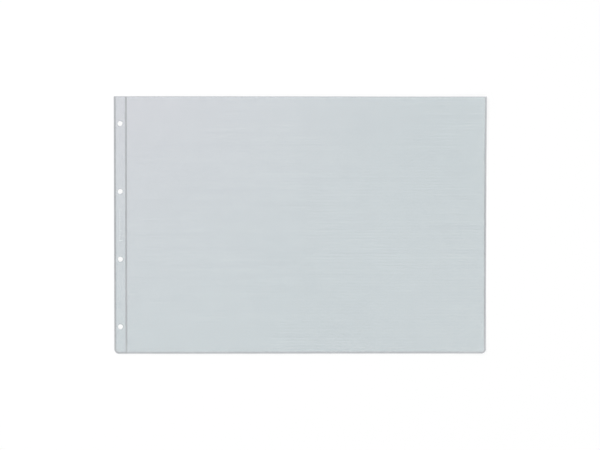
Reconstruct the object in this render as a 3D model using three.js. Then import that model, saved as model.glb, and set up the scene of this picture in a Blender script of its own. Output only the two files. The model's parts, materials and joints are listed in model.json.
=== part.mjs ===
// Punched pocket for a landscape A3 sheet, lying flat on its back.
// Two clear films are welded together at the ring edge, the foot, the spine and the fore edge.
// The top is left open as the mouth, and four ring holes go through the binding margin.
//
// Millimetres. X runs from the ring edge to the fore edge, Y from the foot to the mouth and
// Z up through the thickness. The origin is the middle of the underside.

import * as THREE from "three";

// The sheet that the pocket holds, and the room left round it
const sheetWidth = 420;
const sheetHeight = 297;
const sideSlack = 2.2;
const mouthSlack = 4.6;

// The two films, and the air between them
const filmThickness = 0.2;
const filmGap = 0.3;

// Edge weld across its width: inner bead, pressed groove, outer lip
const beadWidth = 0.5;
const grooveWidth = 1.2;
const lipWidth = 0.7;
const beadRise = 0.1;
const grooveThickness = 0.3;
const lipThickness = 0.42;
const cutEdgeThickness = 0.26;
const grooveSlope = 0.18;

// Spine weld, the line that the pocket folds along
const spineFromEdge = 14.3;
const spineWidth = 2.2;
const spineBeadWidth = 0.6;
const spineShoulder = 0.3;
const spineThickness = 0.28;

// Rounded corners at the foot, measured at the inner side of the edge weld
const innerCornerRadius = 3.1;
const cornerSegments = 8;

// Straight steps that stand for each curve of a weld's section
const curveSteps = 6;

// Ring holes, in one line parallel to the ring edge
const holeCount = 4;
const holePitch = 80;
const holeDiameter = 6;
const holeFromEdge = 7.3;
const holeSides = 32;

// Play of the front film, which lifts on its own, inside its welds
const frontFilmPlay = 0.3;

// Worked out from the sizes above
const edgeWeldWidth = beadWidth + grooveWidth + lipWidth;
const stackHeight = 2 * filmThickness + filmGap;
const frontFilmBase = filmThickness + filmGap;
const overallWidth = spineFromEdge + spineWidth / 2 + sheetWidth + sideSlack + edgeWeldWidth;
const overallHeight = edgeWeldWidth + sheetHeight + mouthSlack;

const ringEdge = -overallWidth / 2;
const foreEdge = overallWidth / 2;
const foot = -overallHeight / 2;
const mouth = overallHeight / 2;

const ringWeldInside = ringEdge + edgeWeldWidth;
const foreWeldInside = foreEdge - edgeWeldWidth;
const footWeldInside = foot + edgeWeldWidth;
const spineMiddle = ringEdge + spineFromEdge;
const spineRingSide = spineMiddle - spineWidth / 2;
const spinePocketSide = spineMiddle + spineWidth / 2;

const cornerHeight = footWeldInside + innerCornerRadius;
const ringCornerX = ringWeldInside + innerCornerRadius;
const foreCornerX = foreWeldInside - innerCornerRadius;

// Clear film, and the welds where it has been pressed hard and looks a little darker
const filmMaterial = new THREE.MeshStandardMaterial({
  color: 0xcbd4d8,
  roughness: 0.22,
  metalness: 0,
  transparent: true,
  opacity: 0.5,
});
const weldMaterial = new THREE.MeshStandardMaterial({
  color: 0xaeb8bf,
  roughness: 0.3,
  metalness: 0,
  transparent: true,
  opacity: 0.7,
});

// A stop on a weld's path: a point on the weld's inner side and the way out from there
function stop(x, y, outX, outY) {
  return { x, y, outX, outY };
}

// A quarter turn round a foot corner, as stops on a circle of the given radius
function cornerStops(centreX, centreY, radius, startAngle) {
  const stops = [];
  for (let i = 0; i <= cornerSegments; i++) {
    const angle = startAngle + (i / cornerSegments) * (Math.PI / 2);
    const outX = Math.cos(angle);
    const outY = Math.sin(angle);
    stops.push(stop(centreX + radius * outX, centreY + radius * outY, outX, outY));
  }
  return stops;
}

// Section of an edge weld: x runs out from its inner side, y is height above the underside
function edgeWeldSection() {
  const grooveStart = beadWidth;
  const grooveEnd = beadWidth + grooveWidth;
  const section = new THREE.Shape();
  section.moveTo(0, 0);
  section.lineTo(edgeWeldWidth, 0);
  section.lineTo(edgeWeldWidth, cutEdgeThickness);
  section.quadraticCurveTo(edgeWeldWidth, lipThickness, grooveEnd + lipWidth / 2, lipThickness);
  section.lineTo(grooveEnd, lipThickness);
  section.lineTo(grooveEnd - grooveSlope, grooveThickness);
  section.lineTo(grooveStart + grooveSlope, grooveThickness);
  section.lineTo(grooveStart, stackHeight);
  section.quadraticCurveTo(beadWidth / 2, stackHeight + 2 * beadRise, 0, stackHeight);
  return section;
}

// Section of the spine weld: x runs from the ring side to the pocket side
function spineWeldSection() {
  const grooveEnd = spineWidth - spineBeadWidth;
  const beadMiddle = spineWidth - spineBeadWidth / 2;
  const section = new THREE.Shape();
  section.moveTo(0, 0);
  section.lineTo(spineWidth, 0);
  section.lineTo(spineWidth, stackHeight);
  section.quadraticCurveTo(beadMiddle, stackHeight + 2 * beadRise, grooveEnd, stackHeight);
  section.lineTo(grooveEnd - grooveSlope, spineThickness);
  section.lineTo(spineShoulder + grooveSlope, spineThickness);
  section.lineTo(spineShoulder, stackHeight);
  section.lineTo(0, stackHeight);
  return section;
}

// A section carried along its stops, closed at both ends
function sweep(section, stops) {
  const outline = section.extractPoints(curveSteps).shape;
  const ringSize = outline.length;
  const positions = [];
  for (const { x, y, outX, outY } of stops) {
    for (const point of outline) {
      positions.push(x + point.x * outX, y + point.x * outY, point.y);
    }
  }
  const faces = [];
  for (let i = 0; i + 1 < stops.length; i++) {
    for (let j = 0; j < ringSize; j++) {
      const here = i * ringSize + j;
      const beside = i * ringSize + ((j + 1) % ringSize);
      faces.push(here, beside + ringSize, beside);
      faces.push(here, here + ringSize, beside + ringSize);
    }
  }
  const lastRing = (stops.length - 1) * ringSize;
  for (const [a, b, c] of THREE.ShapeUtils.triangulateShape(outline, [])) {
    faces.push(a, b, c);
    faces.push(lastRing + c, lastRing + b, lastRing + a);
  }
  const geometry = new THREE.BufferGeometry();
  geometry.setAttribute("position", new THREE.Float32BufferAttribute(positions, 3));
  geometry.setIndex(faces);
  geometry.computeVertexNormals();
  return geometry;
}

// A flat film cut to an outline
function film(outline, holes = []) {
  const shape = new THREE.Shape(outline.map(({ x, y }) => new THREE.Vector2(x, y)));
  shape.holes.push(...holes);
  return new THREE.ExtrudeGeometry(shape, {
    depth: filmThickness,
    bevelEnabled: false,
    curveSegments: holeSides / 2,
  });
}

function ringHoles() {
  const holes = [];
  for (let i = 0; i < holeCount; i++) {
    const height = (i - (holeCount - 1) / 2) * holePitch;
    const hole = new THREE.Path();
    hole.absarc(ringEdge + holeFromEdge, height, holeDiameter / 2, 0, 2 * Math.PI, true);
    holes.push(hole);
  }
  return holes;
}

// Outline of the binding margin, between the ring weld and the spine
function marginOutline() {
  return [
    ...cornerStops(ringCornerX, cornerHeight, innerCornerRadius, Math.PI),
    { x: spineRingSide, y: footWeldInside },
    { x: spineRingSide, y: mouth },
    { x: ringWeldInside, y: mouth },
  ];
}

// Outline of a pocket film, drawn in from its welds by the play
function pocketOutline(play) {
  return [
    { x: spinePocketSide + play, y: footWeldInside + play },
    ...cornerStops(foreCornerX, cornerHeight, innerCornerRadius - play, -Math.PI / 2),
    { x: foreWeldInside - play, y: mouth },
    { x: spinePocketSide + play, y: mouth },
  ];
}

function piece(name, geometry, material, base = 0) {
  const mesh = new THREE.Mesh(geometry, material);
  mesh.name = name;
  mesh.position.z = base;
  return mesh;
}

// Binding margin, which the rings hold
const margin = new THREE.Group();
const marginShape = film(marginOutline(), ringHoles());
margin.add(piece("margin_back_film", marginShape, filmMaterial));
margin.add(piece("margin_front_film", marginShape.clone(), filmMaterial, frontFilmBase));
margin.add(piece("ring_edge_weld", sweep(edgeWeldSection(), [
  stop(ringWeldInside, mouth, -1, 0),
  ...cornerStops(ringCornerX, cornerHeight, innerCornerRadius, Math.PI),
]), weldMaterial));
margin.add(piece("margin_foot_weld", sweep(edgeWeldSection(), [
  stop(ringCornerX, footWeldInside, 0, -1),
  stop(spineRingSide, footWeldInside, 0, -1),
]), weldMaterial));

// Spine weld, which bends as the pocket turns
const spine = piece("spine_weld", sweep(spineWeldSection(), [
  stop(spineRingSide, foot, 1, 0),
  stop(spineRingSide, mouth, 1, 0),
]), weldMaterial);

// Pocket, which turns about the spine weld
const pocket = new THREE.Group();
pocket.add(piece("pocket_back_film", film(pocketOutline(0)), filmMaterial));
pocket.add(piece("pocket_foot_weld", sweep(edgeWeldSection(), [
  stop(spinePocketSide, footWeldInside, 0, -1),
  stop(foreCornerX, footWeldInside, 0, -1),
]), weldMaterial));
pocket.add(piece("fore_edge_weld", sweep(edgeWeldSection(), [
  ...cornerStops(foreCornerX, cornerHeight, innerCornerRadius, -Math.PI / 2),
  stop(foreWeldInside, mouth, 1, 0),
]), weldMaterial));

// Front film of the pocket, which lifts away from the back film to open the mouth
pocket.add(piece("pocket_front_film", film(pocketOutline(frontFilmPlay)), filmMaterial, frontFilmBase));

const punchedPocket = new THREE.Group();
punchedPocket.add(margin, spine, pocket);

export default punchedPocket;
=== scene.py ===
"""A clear punched pocket for a landscape A3 sheet, lying on a pale table."""

import json
import math

import bmesh
import bpy
from mathutils import Euler, Matrix, Vector, noise


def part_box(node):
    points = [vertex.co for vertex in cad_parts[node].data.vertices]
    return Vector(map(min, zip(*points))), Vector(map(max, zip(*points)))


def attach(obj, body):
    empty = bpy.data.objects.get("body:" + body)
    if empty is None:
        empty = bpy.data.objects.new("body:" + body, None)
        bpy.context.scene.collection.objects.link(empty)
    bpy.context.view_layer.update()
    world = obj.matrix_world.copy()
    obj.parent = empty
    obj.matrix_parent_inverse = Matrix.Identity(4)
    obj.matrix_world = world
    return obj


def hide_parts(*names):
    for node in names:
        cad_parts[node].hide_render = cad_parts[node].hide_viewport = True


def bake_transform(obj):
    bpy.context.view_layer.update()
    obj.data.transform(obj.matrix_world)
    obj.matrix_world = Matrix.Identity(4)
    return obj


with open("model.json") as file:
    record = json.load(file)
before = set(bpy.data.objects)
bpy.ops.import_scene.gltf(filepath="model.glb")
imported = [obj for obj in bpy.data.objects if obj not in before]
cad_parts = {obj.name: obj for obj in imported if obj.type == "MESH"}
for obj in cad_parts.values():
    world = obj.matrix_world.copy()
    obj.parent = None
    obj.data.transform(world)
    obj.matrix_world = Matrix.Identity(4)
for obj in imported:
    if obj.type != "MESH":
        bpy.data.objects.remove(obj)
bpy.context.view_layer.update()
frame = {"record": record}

MM = 0.001

# Edges of the pocket and of its welds, from the frame
ring_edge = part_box("ring_edge_weld")[0].x
fore_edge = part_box("fore_edge_weld")[1].x
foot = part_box("spine_weld")[0].y
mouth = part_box("spine_weld")[1].y
ring_weld_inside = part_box("margin_back_film")[0].x
fore_weld_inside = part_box("pocket_back_film")[1].x
foot_weld_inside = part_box("pocket_back_film")[0].y
spine_ring_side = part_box("spine_weld")[0].x
spine_pocket_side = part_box("spine_weld")[1].x
ring_corner_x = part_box("margin_foot_weld")[0].x
fore_corner_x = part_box("pocket_foot_weld")[1].x
spine_middle = (spine_ring_side + spine_pocket_side) / 2
spine_width = spine_pocket_side - spine_ring_side
pocket_middle = (spine_pocket_side + fore_weld_inside) / 2
weld_width = fore_edge - fore_weld_inside
corner_radius = fore_weld_inside - fore_corner_x
corner_y = foot_weld_inside + corner_radius
overall_width = fore_edge - ring_edge
height_share = (mouth - foot) / overall_width
film_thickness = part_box("pocket_back_film")[1].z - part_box("pocket_back_film")[0].z
hole_centres = [
    (Vector(opening["box_m"][0]) + Vector(opening["box_m"][1])) / 2
    for opening in frame["record"]["physics"]["openings"]
]
hole_x = hole_centres[0].x

# Ring holes: the punched circle, the rim that the punch leaves, and the flat film outside that
hole_radius = 3 * MM
hole_sides = 48
rim_width = 0.25 * MM
rim_radius = hole_radius + rim_width
flat_radius = rim_radius + 0.2 * MM
burr_height = 0.05 * MM
margin_cell = 4.2 * MM

# How the sheet lies: corners that curl up, puckers beside the welds, long ripples and a broad swell
corner_curls = (
    (Vector((ring_edge, mouth)), 0.9 * MM, 55 * MM),
    (Vector((fore_edge, mouth)), 3.2 * MM, 120 * MM),
    (Vector((fore_edge, foot)), 1.6 * MM, 80 * MM),
    (Vector((ring_edge, foot)), 0.5 * MM, 40 * MM),
)
pucker_height = 0.45 * MM
pucker_length = 31 * MM
pucker_reach = 20 * MM
pucker_wander = 2.5
ripple_height = 0.4 * MM
ripple_across = 30 * MM
ripple_along = 95 * MM
swell_height = 0.9 * MM
swell_length = 150 * MM
spine_hold = 30 * MM
settle_depth = 0.5 * MM
settle_softness = 0.2 * MM

# Air between the two films
least_air = 0.03 * MM
most_air = 0.9 * MM
margin_most_air = 0.12 * MM
air_rise = 26 * MM
air_patches = 1.7
lip_air = 1.3 * MM
lip_reach = 38 * MM

# A plain row of pressed ticks on the margin, between the two middle holes
tick_count = 13
tick_pitch = 3 * MM
tick_width = 0.6 * MM
tick_height = 0.06 * MM
short_tick = 1.5 * MM
long_tick = 2.8 * MM
ticks_a_long_one = 4

sheet_step = 4.5 * MM
margin_step = 1.6 * MM
least_edge = 0.02 * MM
corner_steps = 8
sharp_angle = math.radians(35)


def lie(x, y):
    """Height of the sheet's underside above the table."""
    curl = 0.0
    for corner, height, reach in corner_curls:
        away = (Vector((x, y)) - corner).length
        curl += height * max(1 - away / reach, 0.0) ** 2
    from_weld = max(min(fore_edge - x, y - foot), 0.0)
    drift = noise.noise(Vector((x, y, 0.0)) / pucker_length)
    wave = 0.5 + 0.5 * math.sin(2 * math.pi * (x + y) / pucker_length + pucker_wander * drift)
    pucker = pucker_height * wave * math.exp(-from_weld / pucker_reach)
    stretched = Vector((x / ripple_across, y / ripple_along, 0.6))
    ripple = ripple_height * (0.5 + 0.5 * noise.noise(stretched))
    swell = swell_height * (0.5 + 0.5 * noise.noise(Vector((x, y, 0.35)) / swell_length))
    free = 1 - math.exp(-(((x - spine_middle) / spine_hold) ** 2))
    lifted = free * (curl + pucker + ripple + swell) - settle_depth
    return (lifted + math.hypot(lifted, settle_softness)) / 2


def air(x, y):
    """Gap between the back film and the front film of the pocket."""
    pillow = 1.0
    for from_weld in (x - spine_pocket_side, fore_weld_inside - x, y - foot_weld_inside):
        pillow *= 1 - math.exp(-max(from_weld, 0.0) / air_rise)
    patchy = 0.5 + 0.5 * noise.noise(Vector((x, y, 0.8)) / swell_length * air_patches)
    across = (x - spine_pocket_side) / (fore_weld_inside - spine_pocket_side)
    lip = math.sin(math.pi * min(max(across, 0.0), 1.0)) * math.exp((y - mouth) / lip_reach)
    return least_air + pillow * (most_air * patchy + lip_air * lip)


def margin_air(x, y):
    """Gap between the two films of the binding margin, which its two welds hold close."""
    across = (x - ring_weld_inside) / (spine_ring_side - ring_weld_inside)
    return least_air + margin_most_air * math.sin(math.pi * min(max(across, 0.0), 1.0))


def burr(x, y):
    """The rim of a ring hole stands up a little where the punch came through."""
    from_hole = min(math.dist((x, y), hole.xy) for hole in hole_centres) - hole_radius
    return burr_height * max(1 - from_hole / rim_width, 0.0)


class Value:
    """A number that varies over a surface, so that shader maths reads as Python."""

    def __init__(self, finish, socket):
        self.finish = finish
        self.socket = socket

    def __add__(self, other):
        return self.finish.maths("ADD", self, other)

    def __sub__(self, other):
        return self.finish.maths("SUBTRACT", self, other)

    def __rsub__(self, other):
        return self.finish.maths("SUBTRACT", other, self)

    def __mul__(self, other):
        return self.finish.maths("MULTIPLY", self, other)

    def __pow__(self, other):
        return self.finish.maths("POWER", self, other)

    __radd__ = __add__
    __rmul__ = __mul__


class Finish:
    """The nodes of a material, or of the surroundings."""

    def __init__(self, owner):
        owner.use_nodes = True
        self.owner = owner
        self.tree = owner.node_tree
        self.tree.nodes.clear()

    def node(self, kind, settings=None, **inputs):
        """One node of a type: its settings first, then the values or links of its sockets."""
        made = self.tree.nodes.new(kind)
        for name, setting in (settings or {}).items():
            if name == "stops":
                self.set_stops(made.color_ramp, setting)
            else:
                setattr(made, name, setting)
        for name, given in inputs.items():
            key = int(name[1:]) if name[1:].isdigit() else name.replace("_", " ")
            self.feed(made.inputs[key], given)
        return made

    def set_stops(self, ramp, stops):
        while len(ramp.elements) < len(stops):
            ramp.elements.new(1.0)
        for element, (place, shade) in zip(ramp.elements, stops):
            element.position = place
            element.color = (shade, shade, shade, 1)

    def feed(self, socket, given):
        if isinstance(given, Value):
            given = given.socket
        if isinstance(given, bpy.types.Node):
            given = given.outputs[0]
        if isinstance(given, bpy.types.NodeSocket):
            self.tree.links.new(given, socket)
        else:
            socket.default_value = given

    def value(self, node, output=0):
        return Value(self, node.outputs[output])

    def maths(self, operation, first, second=0.0):
        return self.value(self.node("ShaderNodeMath", {"operation": operation}, i0=first, i1=second))

    def noise(self, place, scale, detail):
        return self.value(self.node("ShaderNodeTexNoise", Vector=place, Scale=scale, Detail=detail))

    def ribs(self, place, pitch):
        """Even lines across the sheet that wander a little, from 0 to 1 and back in each pitch."""
        scale = math.pi * overall_width / (10 * pitch)
        wave = self.node("ShaderNodeTexWave", {"bands_direction": "Y"}, Vector=place, Scale=scale,
                         Distortion=rib_wander, Detail=1.0, Detail_Scale=rib_wander_scale / scale)
        return self.value(wave)

    def nearness(self, place, middle, reach):
        """1 at a middle, falling evenly to 0 at a reach from it."""
        centred = self.node("ShaderNodeMapping", {"vector_type": "TEXTURE"}, Vector=place,
                            Location=middle, Scale=reach)
        fade = self.node("ShaderNodeTexGradient", {"gradient_type": "SPHERICAL"}, Vector=centred)
        return self.value(fade)

    def mix(self, share, first, second):
        return self.node("ShaderNodeMixShader", i0=share, i1=first, i2=second)

    def blend_colours(self, share, first, second):
        blend = self.node("ShaderNodeMix", {"data_type": "RGBA"}, i0=share, i6=first, i7=second)
        return blend.outputs[2]

    def show(self, shader, output="ShaderNodeOutputMaterial"):
        self.node(output, Surface=shader)
        return self.owner


# Clear plastic in general: little of the light is scattered, and gloss and haze grow at a glance
face_on_gloss = 0.04
glancing_gloss = 0.94
glance_power = 5.0
glancing_haze = 0.7


def clear_plastic(finish, haze, haze_colour, roughness, bump):
    facing = finish.value(finish.node("ShaderNodeLayerWeight", Blend=0.5, Normal=bump), "Facing")
    through = finish.node("ShaderNodeBsdfTransparent", Color=(1, 1, 1, 1))
    body = finish.node("ShaderNodeBsdfPrincipled", Base_Color=haze_colour, Roughness=roughness,
                       Normal=bump)
    seen = finish.mix(haze * (facing * glancing_haze + 1), through, body)
    sheen = facing ** glance_power * glancing_gloss + face_on_gloss
    gloss = finish.node("ShaderNodeBsdfGlossy", Color=(1, 1, 1, 1), Roughness=roughness, Normal=bump)
    return finish.show(finish.mix(sheen, seen, gloss))


def film(name, haze, line_scale, line_depth, rib_depth):
    """Calendered film: patchy roller lines and even ribs, and a painted reflection of the key lamp, a
    lighter, warmer tint towards the ring corner at the mouth.
    """
    finish = Finish(bpy.data.materials.new(name))
    flat = finish.node("ShaderNodeUVMap", {"uv_map": "flat"})
    stretched = finish.node("ShaderNodeMapping", Vector=flat, Scale=line_scale)
    lines = finish.noise(stretched, 1.0, 2.0)
    patch = finish.noise(flat, patch_scale, 1.0)
    drift = finish.noise(flat, drift_scale, 2.0)
    cling = finish.noise(flat, cling_scale, 3.0)
    skin = finish.noise(flat, skin_scale, 1.0)
    # Here nearness is the mask of the painted key-lamp reflection. It lightens and warms the film towards
    # the ring corner at the mouth, and the ribs fade under it.
    nearness = finish.nearness(flat, painted_reflection_middle, painted_reflection_reach)
    film_tint_with_painted_reflection = finish.blend_colours(painted_reflection_gain * nearness ** painted_reflection_power, cool_haze, painted_reflection_haze)
    ribs = finish.ribs(flat, rib_pitch) - 0.5 + band_share * (finish.ribs(flat, band_pitch) - 0.5)
    pressed = line_depth * (patch * (lines - 0.5)) + rib_depth * (ribs * (1 - nearness) ** rib_fade)
    share = haze * (1 + pressed + drift_depth * (drift - 0.5) + cling_depth * (cling - 0.5))
    relief = line_relief * lines + skin_relief * skin
    bump = finish.node("ShaderNodeBump", Strength=1.0, Distance=1.0, Height=relief)
    return clear_plastic(finish, share, film_tint_with_painted_reflection, film_roughness, bump)


def weld(name, haze, across_stops_with_bead_highlights):
    """Plastic pressed hard by a hot bar: dark across its pressed middle and darkest where the bar pressed
    most, with painted highlights that lighten the beads at its sides.
    """
    finish = Finish(bpy.data.materials.new(name))
    flat = finish.node("ShaderNodeUVMap", {"uv_map": "flat"})
    seam = finish.node("ShaderNodeUVMap", {"uv_map": "seam"})
    across = finish.value(finish.node("ShaderNodeSeparateXYZ", Vector=seam), "Y")
    weld_tone_with_bead_highlights = finish.value(finish.node("ShaderNodeValToRGB", {"stops": across_stops_with_bead_highlights}, Fac=across))
    up = finish.value(finish.node("ShaderNodeSeparateXYZ", Vector=flat), "Y")
    from_middle = up * (2 / height_share) - 1
    pressure = middle_pressure - end_slack * (from_middle * from_middle)
    ripple = finish.noise(flat, weld_ripple_scale, 2.0)
    drift = finish.noise(flat, weld_drift_scale, 2.0)
    unevenness = weld_ripple_depth * (ripple - 0.5) + weld_drift_depth * (drift - 0.5)
    share = haze * (weld_tone_with_bead_highlights * pressure * (1 + unevenness))
    bump = finish.node("ShaderNodeBump", Strength=0.5, Distance=weld_relief, Height=ripple)
    return clear_plastic(finish, share, weld_haze, weld_roughness, bump)


def worked_plastic(name, haze, haze_colour, roughness):
    """Plastic whose skin is broken, as at a cut edge or a pressed mark."""
    finish = Finish(bpy.data.materials.new(name))
    flat = finish.node("ShaderNodeUVMap", {"uv_map": "flat"})
    grain = finish.noise(flat, grain_scale, 2.0)
    bump = finish.node("ShaderNodeBump", Strength=0.6, Distance=grain_relief, Height=grain)
    share = haze * (1 + grain_depth * (grain - 0.5))
    return clear_plastic(finish, share, haze_colour, roughness, bump)


# The film's haze, and how it drifts and patches over the sheet, and the painted reflection of the key lamp
# that makes it lighter and warmer towards the ring corner at the mouth
cool_haze = (0.449, 0.546, 0.581, 1)
painted_reflection_haze = (0.525, 0.556, 0.614, 1)
painted_reflection_middle = (-0.3, height_share + 0.31, 0)
painted_reflection_reach = (1.32, 1.14, 1)
painted_reflection_gain = 2.1
painted_reflection_power = 1.45
patch_scale = 3.4
drift_scale = 2.6
drift_depth = 0.12
cling_scale = 22.0
cling_depth = 0.08

# The film's ribs and its skin
rib_pitch = 3.55 * MM
rib_wander = 1.5
rib_wander_scale = 2.0
rib_fade = 1.5
band_pitch = 14.2 * MM
band_share = 0.18
line_relief = 0.012 * MM
skin_scale = 40.0
skin_relief = 0.06 * MM
film_roughness = 0.12

# The welds, and plastic that is cut or pressed
weld_haze = (0.282, 0.308, 0.335, 1)
middle_pressure = 1.03
end_slack = 0.1
weld_ripple_scale = 160.0
weld_ripple_depth = 0.25
weld_drift_scale = 11.0
weld_drift_depth = 0.35
weld_relief = 0.3 * MM
weld_roughness = 0.2
grain_scale = 700.0
grain_depth = 0.4
grain_relief = 0.1 * MM

pocket_film = film(
    "pocket_film", haze=0.207, line_scale=(1.5, 120.0, 1.0), line_depth=0.22, rib_depth=0.055
)
margin_film = film(
    "margin_film", haze=0.206, line_scale=(150.0, 2.5, 1.0), line_depth=0.12, rib_depth=0.0
)
# Across each weld, 1 is the weld's own full haze. The lower stops at the two sides are painted highlights
# on the weld's beads.
edge_stops_with_bead_highlights = ((0.0, 0.7), (0.12, 1.0), (0.82, 1.0), (1.0, 0.85))
spine_stops_with_bead_highlights = ((0.0, 0.85), (0.1, 1.0), (0.9, 1.0), (1.0, 0.8))
ring_weld = weld("ring_weld", haze=0.475, across_stops_with_bead_highlights=edge_stops_with_bead_highlights)
fore_weld = weld("fore_weld", haze=0.43, across_stops_with_bead_highlights=edge_stops_with_bead_highlights)
spine_weld = weld("spine_weld", haze=0.465, across_stops_with_bead_highlights=spine_stops_with_bead_highlights)
cut_edge = worked_plastic("cut_edge", haze=0.38, haze_colour=(0.24, 0.29, 0.31, 1), roughness=0.3)
frosted = worked_plastic("frosted_mark", haze=0.6, haze_colour=(0.86, 0.90, 0.92, 1), roughness=0.5)


def finish_piece(name, bm, materials, height):
    """Lays the mesh on the table, gives it its flat map, and makes it an object."""
    flat = bm.loops.layers.uv.new("flat")
    for face in bm.faces:
        for loop in face.loops:
            spot = loop.vert.co
            loop[flat].uv = ((spot.x - ring_edge) / overall_width, (spot.y - foot) / overall_width)
    for vert in bm.verts:
        vert.co.z += height(vert.co.x, vert.co.y)
    bmesh.ops.recalc_face_normals(bm, faces=bm.faces)
    for face in bm.faces:
        face.smooth = True
    for edge in bm.edges:
        if len(edge.link_faces) == 2 and edge.calc_face_angle() > sharp_angle:
            edge.smooth = False
    mesh = bpy.data.meshes.new(name)
    bm.to_mesh(mesh)
    bm.free()
    for material in materials:
        mesh.materials.append(material)
    made = bpy.data.objects.new(name, mesh)
    bpy.context.scene.collection.objects.link(made)
    return made


def slice_at(bm, places, direction):
    """Cuts the flat sheet along straight lines, so that it can bend there."""
    for place in places:
        everything = [*bm.verts, *bm.edges, *bm.faces]
        bmesh.ops.bisect_plane(bm, geom=everything, plane_co=direction * place, plane_no=direction)


def steps_between(low, high, step):
    count = max(int(round((high - low) / step)), 1)
    return [low + (high - low) * i / count for i in range(1, count)]


def flat_sheet(low_x, high_x, rounded_x=None):
    """A flat rectangle of film from the foot weld to the mouth, with one foot corner rounded."""
    bm = bmesh.new()
    bmesh.ops.create_grid(bm, x_segments=1, y_segments=1, size=0.5)
    bmesh.ops.scale(bm, verts=bm.verts, vec=(high_x - low_x, mouth - foot_weld_inside, 1))
    bmesh.ops.translate(bm, verts=bm.verts, vec=((low_x + high_x) / 2, (mouth + foot_weld_inside) / 2, 0))
    if rounded_x is not None:
        corner = min(bm.verts, key=lambda v: (v.co - Vector((rounded_x, foot_weld_inside, 0))).length)
        bmesh.ops.bevel(
            bm, geom=[corner], offset=corner_radius, segments=corner_steps, profile=0.5, affect="VERTICES",
            material=-1
        )
    slice_at(bm, [mouth - rim_width], Vector((0, 1, 0)))
    return bm


def on_rim(spot):
    """Whether a face lies beside the mouth's cut or round a ring hole."""
    if spot.y > mouth - rim_width:
        return True
    return any(math.dist(spot.xy, hole.xy) < rim_radius for hole in hole_centres)


def thicken(bm):
    """Gives a flat sheet its thickness, and its cut rims their own material."""
    grown = bmesh.ops.extrude_face_region(bm, geom=bm.faces[:], use_keep_orig=True)
    top = [item for item in grown["geom"] if isinstance(item, bmesh.types.BMVert)]
    bmesh.ops.translate(bm, verts=top, vec=(0, 0, film_thickness))
    for face in bm.faces:
        face.material_index = int(on_rim(face.calc_center_median()))


def punch(bm, centre):
    """Opens a round hole with a narrow rim in a square cell of the margin."""
    cell = min(bm.faces, key=lambda f: (f.calc_center_median() - centre).length)
    sides = cell.edges[:]
    bmesh.ops.delete(bm, geom=[cell], context="FACES_ONLY")
    split = bmesh.ops.subdivide_edges(bm, edges=sides, cuts=hole_sides // 4 - 1)
    border = [item for item in split["geom_split"] if isinstance(item, bmesh.types.BMEdge)]
    turned = Matrix.Translation(centre) @ Matrix.Rotation(math.pi / 4, 4, "Z")
    circle = bmesh.ops.create_circle(bm, segments=hole_sides, radius=flat_radius, matrix=turned)
    round_edges = list({edge for vert in circle["verts"] for edge in vert.link_edges})
    bmesh.ops.bridge_loops(bm, edges=border + round_edges)
    for radius, inner_radius in ((flat_radius, rim_radius), (rim_radius, hole_radius)):
        share = inner_radius / radius
        grown = bmesh.ops.extrude_edge_only(bm, edges=round_edges)["geom"]
        inner = [item for item in grown if isinstance(item, bmesh.types.BMVert)]
        bmesh.ops.scale(bm, verts=inner, vec=(share, share, 1), space=Matrix.Translation(-centre))
        round_edges = [item for item in grown if isinstance(item, bmesh.types.BMEdge)
                       and all(vert in inner for vert in item.verts)]


def margin_sheet(name, base, node):
    bm = flat_sheet(ring_weld_inside, spine_ring_side, ring_weld_inside)
    slice_at(bm, [hole_x - margin_cell, hole_x + margin_cell], Vector((1, 0, 0)))
    rows = steps_between(foot_weld_inside, mouth, sheet_step)
    rows = [y for y in rows if all(abs(y - hole.y) > margin_cell + 1 * MM for hole in hole_centres)]
    rows += [hole.y + side * margin_cell for hole in hole_centres for side in (-1, 1)]
    slice_at(bm, rows, Vector((0, 1, 0)))
    for hole in hole_centres:
        punch(bm, Vector((hole.x, hole.y, 0)))
    slice_at(bm, steps_between(ring_weld_inside, spine_ring_side, margin_step), Vector((1, 0, 0)))
    bmesh.ops.remove_doubles(bm, verts=bm.verts, dist=least_edge)
    thicken(bm)
    made = finish_piece(name, bm, [margin_film, cut_edge], lambda x, y: lie(x, y) + base(x, y))
    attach(made, "margin")
    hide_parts(node)


def pocket_sheet(name, low_x, high_x, base, rounded_x):
    bm = flat_sheet(low_x, high_x, rounded_x)
    slice_at(bm, steps_between(low_x, high_x, sheet_step), Vector((1, 0, 0)))
    slice_at(bm, steps_between(foot_weld_inside, mouth, sheet_step), Vector((0, 1, 0)))
    thicken(bm)
    made = finish_piece(name, bm, [pocket_film, cut_edge], lambda x, y: lie(x, y) + base(x, y))
    return made


def on_the_back(x, y):
    return 0.0


def over_the_margin(x, y):
    return film_thickness + margin_air(x, y) + burr(x, y)


def over_the_pocket(x, y):
    return film_thickness + air(x, y)


margin_sheet("margin_back_sheet", on_the_back, "margin_back_film")
margin_sheet("margin_front_sheet", over_the_margin, "margin_front_film")

back_sheet = pocket_sheet(
    "pocket_back_sheet", spine_pocket_side, fore_weld_inside, on_the_back, fore_weld_inside
)
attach(back_sheet, "pocket")
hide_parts("pocket_back_film")

# The front film is made in two halves, which meet in the middle of the pocket
front_halves = (
    ("front_sheet_spine_half", spine_pocket_side, pocket_middle, None, spine_pocket_side),
    ("front_sheet_fore_half", pocket_middle, fore_weld_inside, fore_weld_inside, fore_weld_inside),
)
for name, low_x, high_x, rounded_x, weld_x in front_halves:
    half = pocket_sheet(name, low_x, high_x, over_the_pocket, rounded_x)
    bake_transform(half)
    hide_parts("pocket_front_film")


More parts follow.
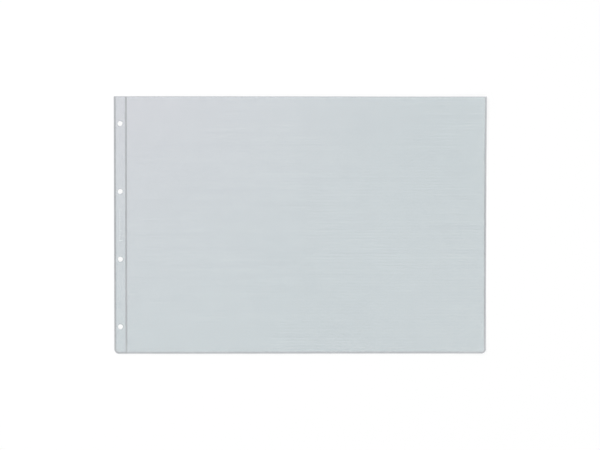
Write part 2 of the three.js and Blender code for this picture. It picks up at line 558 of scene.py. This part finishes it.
def pressed_ticks():
    """A plain row of short and long ticks, pressed into the margin's front film."""
    bm = bmesh.new()
    for i in range(tick_count):
        length = short_tick if i % ticks_a_long_one else long_tick
        bar = bmesh.ops.create_cube(bm, size=1)["verts"]
        bmesh.ops.scale(bm, verts=bar, vec=(length, tick_width, tick_height))
        along = (i - (tick_count - 1) / 2) * tick_pitch
        bmesh.ops.translate(bm, verts=bar, vec=(hole_x + (length - long_tick) / 2, along, 0))
    bmesh.ops.bevel(
        bm, geom=bm.edges[:], offset=tick_height / 3, segments=2, profile=0.5, affect="EDGES", material=-1
    )
    made = finish_piece("margin_ticks", bm, [frosted],
                        lambda x, y: lie(x, y) + over_the_margin(x, y) + film_thickness)
    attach(made, "margin")


pressed_ticks()


# Sections of the welds: distance from the inner side, and height
edge_section = [
    (0, 0), (2.4, 0), (2.4, 0.24), (2.3, 0.34), (2.05, 0.4), (1.75, 0.36), (1.5, 0.27),
    (0.9, 0.25), (0.65, 0.33), (0.45, 0.5), (0.25, 0.55), (0, 0.45),
]
spine_section = [
    (0, 0), (2.2, 0), (2.2, 0.45), (2.0, 0.55), (1.75, 0.52), (1.5, 0.32), (1.3, 0.25),
    (0.7, 0.25), (0.5, 0.34), (0.3, 0.44), (0, 0.45),
]


def section_face(bm, section, start, out):
    verts = []
    for across, height in section:
        verts.append(bm.verts.new(start + out * across * MM + Vector((0, 0, height * MM))))
    return bm.faces.new(verts)


def run_straight(bm, face, travel):
    grown = bmesh.ops.extrude_face_region(bm, geom=[face])
    moved = [item for item in grown["geom"] if isinstance(item, bmesh.types.BMVert)]
    bmesh.ops.translate(bm, verts=moved, vec=travel)
    return next(item for item in grown["geom"] if isinstance(item, bmesh.types.BMFace))


def run_round(bm, face, centre):
    turned = bmesh.ops.spin(
        bm, geom=[face, *face.edges, *face.verts], cent=centre, axis=(0, 0, 1), angle=math.pi / 2,
        steps=corner_steps
    )
    return next(item for item in turned["geom_last"] if isinstance(item, bmesh.types.BMFace))


def across_edge_weld(x, y):
    """How far out from an edge weld's inner side a point lies, as a share of the weld's width."""
    past_side = max(ring_corner_x - x, x - fore_corner_x, 0.0)
    past_foot = max(corner_y - y, 0.0)
    return (math.hypot(past_side, past_foot) - corner_radius) / weld_width


def across_spine(x, y):
    return (x - spine_ring_side) / spine_width


def weld_piece(name, bm, material, across, *nodes):
    """Takes out the section faces left between runs, slices the weld to bend, and maps it across."""
    left_inside = [face for face in bm.faces if all(len(edge.link_faces) > 2 for edge in face.edges)]
    bmesh.ops.delete(bm, geom=left_inside, context="FACES_ONLY")
    slice_at(bm, steps_between(ring_corner_x, fore_corner_x, sheet_step), Vector((1, 0, 0)))
    slice_at(bm, steps_between(corner_y, mouth, sheet_step), Vector((0, 1, 0)))
    seam = bm.loops.layers.uv.new("seam")
    for face in bm.faces:
        for loop in face.loops:
            spot = loop.vert.co
            loop[seam].uv = (spot.x - spot.y, across(spot.x, spot.y))
    made = finish_piece(name, bm, [material], lie)
    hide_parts(*nodes)
    return made


# One unbroken run down the ring edge and round to the spine
bm = bmesh.new()
end = section_face(bm, edge_section, Vector((ring_weld_inside, mouth, 0)), Vector((-1, 0, 0)))
end = run_straight(bm, end, Vector((0, corner_y - mouth, 0)))
end = run_round(bm, end, Vector((ring_corner_x, corner_y, 0)))
run_straight(bm, end, Vector((spine_ring_side - ring_corner_x, 0, 0)))
margin_seam = weld_piece(
    "margin_seam", bm, ring_weld, across_edge_weld, "ring_edge_weld", "margin_foot_weld"
)
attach(margin_seam, "margin")

# One unbroken run along the foot and up the fore edge
bm = bmesh.new()
end = section_face(bm, edge_section, Vector((spine_pocket_side, foot_weld_inside, 0)), Vector((0, -1, 0)))
end = run_straight(bm, end, Vector((fore_corner_x - spine_pocket_side, 0, 0)))
end = run_round(bm, end, Vector((fore_corner_x, corner_y, 0)))
run_straight(bm, end, Vector((0, mouth - corner_y, 0)))
pocket_seam = weld_piece(
    "pocket_seam", bm, fore_weld, across_edge_weld, "pocket_foot_weld", "fore_edge_weld"
)
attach(pocket_seam, "pocket")

bm = bmesh.new()
end = section_face(bm, spine_section, Vector((spine_ring_side, foot, 0)), Vector((1, 0, 0)))
run_straight(bm, end, Vector((0, mouth - foot, 0)))
spine_seam = weld_piece("spine_seam", bm, spine_weld, across_spine, "spine_weld")
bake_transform(spine_seam)


# Floor, surroundings, light and camera
def looked_at(finish):
    """1 for what the camera, a reflection or a clear piece looks at, and 0 for what lights the part."""
    path = finish.node("ShaderNodeLightPath")
    seen = finish.maths("MAXIMUM", finish.value(path, "Is Camera Ray"), finish.value(path, "Is Glossy Ray"))
    return finish.maths("MAXIMUM", seen, finish.value(path, "Is Transmission Ray"))


def white_floor(paint_share, reach):
    """Pale paint that looks white, and that keeps its shadows near the part."""
    finish = Finish(bpy.data.materials.new("floor_paint"))
    place = finish.node("ShaderNodeTexCoord").outputs["Object"]
    nearness = finish.nearness(place, (0, 0, 0), (reach, reach, reach))
    white_share = 1 - paint_share * finish.maths("MINIMUM", 2 * nearness, 1)
    paint = finish.node("ShaderNodeBsdfDiffuse", Color=(0.86, 0.86, 0.86, 1))
    white = finish.node("ShaderNodeEmission", Color=(1, 1, 1, 1), Strength=1.0)
    return finish.show(finish.mix(looked_at(finish) * white_share, paint, white))


floor_radius = 12
below_the_sheet = -0.4 * MM
bpy.ops.mesh.primitive_circle_add(
    vertices=64, radius=floor_radius, fill_type="NGON", location=(0, 0, below_the_sheet)
)
floor = bpy.context.object
floor.name = "floor"
floor.data.materials.append(white_floor(paint_share=0.25, reach=2.0))

studio = bpy.data.worlds.new("studio")
bpy.context.scene.world = studio
finish = Finish(studio)
lit = finish.node("ShaderNodeBackground", Color=(1, 1, 1, 1), Strength=0.74)
seen = finish.node("ShaderNodeBackground", Color=(1, 1, 1, 1), Strength=1.0)
finish.show(finish.mix(looked_at(finish), lit, seen), "ShaderNodeOutputWorld")


def soft_light(name, place, width, height, power, in_gloss):
    """A soft box that faces the part. Only the slim ones show in the gloss, as streaks."""
    lamp = bpy.data.lights.new(name, "AREA")
    lamp.shape = "RECTANGLE"
    lamp.size = width
    lamp.size_y = height
    lamp.energy = power
    made = bpy.data.objects.new(name, lamp)
    made.location = place
    made.rotation_euler = (-Vector(place)).to_track_quat("-Z", "Y").to_euler()
    made.visible_glossy = in_gloss
    bpy.context.scene.collection.objects.link(made)


soft_light("key_light", (-1.3, 0.9, 1.9), width=1.0, height=1.0, power=26, in_gloss=False)
soft_light("fill_light", (1.6, -0.8, 1.4), width=1.4, height=1.4, power=11, in_gloss=False)
streak_place = Vector((2.1, 0, 1.07))
for turn in (45, 135, 225, 315):
    around = Euler((0, 0, math.radians(turn))).to_matrix() @ streak_place
    soft_light(f"streak_light_{turn}", around, width=2.4, height=0.1, power=0.7, in_gloss=True)

camera_tilt = Euler((math.radians(-1.222), math.radians(-0.683), math.radians(0.023)))
camera_target = Vector((-0.435, 0.401, 0)) * MM
camera_distance = 1.6
camera_data = bpy.data.cameras.new("camera")
camera_data.sensor_width = 36
camera_data.lens = 81.17
camera = bpy.data.objects.new("camera", camera_data)
camera.rotation_euler = camera_tilt
camera.location = camera_target + camera_tilt.to_matrix() @ Vector((0, 0, camera_distance))
bpy.context.scene.collection.objects.link(camera)
bpy.context.scene.camera = camera
bpy.context.scene.view_settings.view_transform = "Standard"
